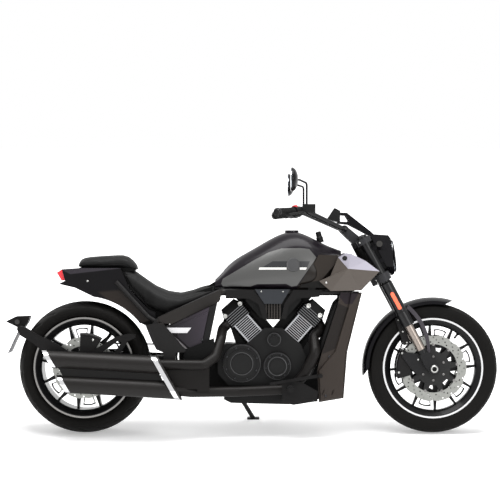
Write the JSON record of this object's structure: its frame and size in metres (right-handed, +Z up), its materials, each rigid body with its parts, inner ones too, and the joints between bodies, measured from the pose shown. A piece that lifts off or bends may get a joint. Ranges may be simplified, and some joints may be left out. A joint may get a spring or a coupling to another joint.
{
  "type": "cruiser motorcycle",
  "caption": "Low cruiser motorcycle with a raked fork, a finned V-twin engine, twin slash-cut mufflers and a wide rear wheel, leaning on its side stand.",
  "frame": {"origin": "On the ground, under the middle of the overall box.", "axes": "X runs forwards along the motorcycle, Y to the rider's left and Z up. The machine leans 8 degrees to its left, onto its side stand."},
  "size_m": [2.4256, 1.0031, 1.3441],
  "materials": {
    "tyre_rubber": "moulded rubber",
    "black_wheel": "gloss black over cast alloy, rim edge machined bright",
    "disc_steel": "turned and ground",
    "machined_alloy": "turned",
    "plated_steel": "polished plating",
    "fork_black": "gloss black",
    "amber_lens": "moulded, clear over amber",
    "black_paint": "gloss black",
    "strap_steel": "satin",
    "caliper_black": "satin black over cast alloy",
    "lamp_lens": "clear",
    "lamp_smoke": "smoked lens",
    "display_black": "gloss black",
    "grip_rubber": "ribbed",
    "control_plastic": "fine texture",
    "mirror_glass": "silvered",
    "frame_black": "satin black",
    "belt_rubber": "toothed belt",
    "engine_black": "satin black over cast alloy",
    "dark_paint": "gloss dark grey",
    "gunmetal_paint": "satin gunmetal grey",
    "brown_grey": "satin brown grey",
    "seat_leather": "stitched black cover over foam",
    "tail_red": "red lens",
    "core_black": "black finned core",
    "pipe_black": "satin black, heat resistant",
    "plate_grey": "blank plate"
  },
  "bodies": {
    "chassis": {"frame_spine": "frame_black", "frame_cradle": "frame_black", "swingarm": "frame_black", "rear_axle": "plated_steel", "rear_caliper": "caliper_black", "drive_belt": "belt_rubber", "crankcase": "engine_black", "cylinders": "engine_black", "cylinder_heads": "engine_black", "intake_cover": "control_plastic", "engine_hangers": "frame_black", "fuel_tank": "dark_paint", "tank_side_panels": "gunmetal_paint", "fuel_cap": "dark_paint", "rider_seat": "seat_leather", "passenger_seat": "seat_leather", "tail_cowl": "dark_paint", "tail_light": "tail_red", "side_covers": "control_plastic", "front_cowls": "gunmetal_paint", "cowl_infills": "brown_grey", "radiator": "core_black", "radiator_shrouds": "brown_grey", "belly_pan": "control_plastic", "header_pipes": "pipe_black", "mufflers": "pipe_black", "muffler_bands": "plated_steel", "plate_bracket": "frame_black", "number_plate": "plate_grey", "rear_indicators": "lamp_smoke", "foot_controls": "frame_black"},
    "steering": {"fork_tubes": "fork_black", "fork_sliders": "fork_black", "front_axle": "plated_steel", "triple_clamps": "fork_black", "fork_reflectors": "amber_lens", "front_fender": "black_paint", "fender_stays": "strap_steel", "front_calipers": "caliper_black", "headlight_shell": "black_paint", "headlight_lens": "lamp_lens", "display": "display_black", "handlebar": "fork_black", "grips": "grip_rubber", "hand_controls": "control_plastic", "mirrors": "black_paint", "mirror_glasses": "mirror_glass", "front_indicators": "lamp_smoke"},
    "front_wheel": {"front_tyre": "tyre_rubber", "front_rim": "black_wheel", "front_brake_discs": "disc_steel"},
    "rear_wheel": {"rear_tyre": "tyre_rubber", "rear_rim": "black_wheel", "rear_brake_disc": "disc_steel", "rear_pulley": "machined_alloy"},
    "side_stand": {"side_stand": "frame_black"}
  },
  "joints": [
    {"name": "steering_head", "type": "hinge", "parent": "chassis", "child": "steering", "pos_m": [0.58529, -0.06223, 0.81805], "axis": [-0.4695, 0.1229, 0.8744], "range_deg": [-34, 34]},
    {"name": "front_wheel_spin", "type": "hinge", "parent": "steering", "child": "front_wheel", "pos_m": [0.895, -0.13263, 0.31717], "axis": [0, 0.9903, -0.1392], "continuous": true},
    {"name": "rear_wheel_spin", "type": "hinge", "parent": "chassis", "child": "rear_wheel", "pos_m": [-0.82, -0.13182, 0.3229], "axis": [0, 0.9903, -0.1392], "continuous": true},
    {"name": "stand_fold", "type": "hinge", "parent": "chassis", "child": "side_stand", "pos_m": [-0.06, -0.01443, 0.1523], "axis": [0.1514, 0.6797, 0.7177], "range_deg": [0, 105]}
  ]
}
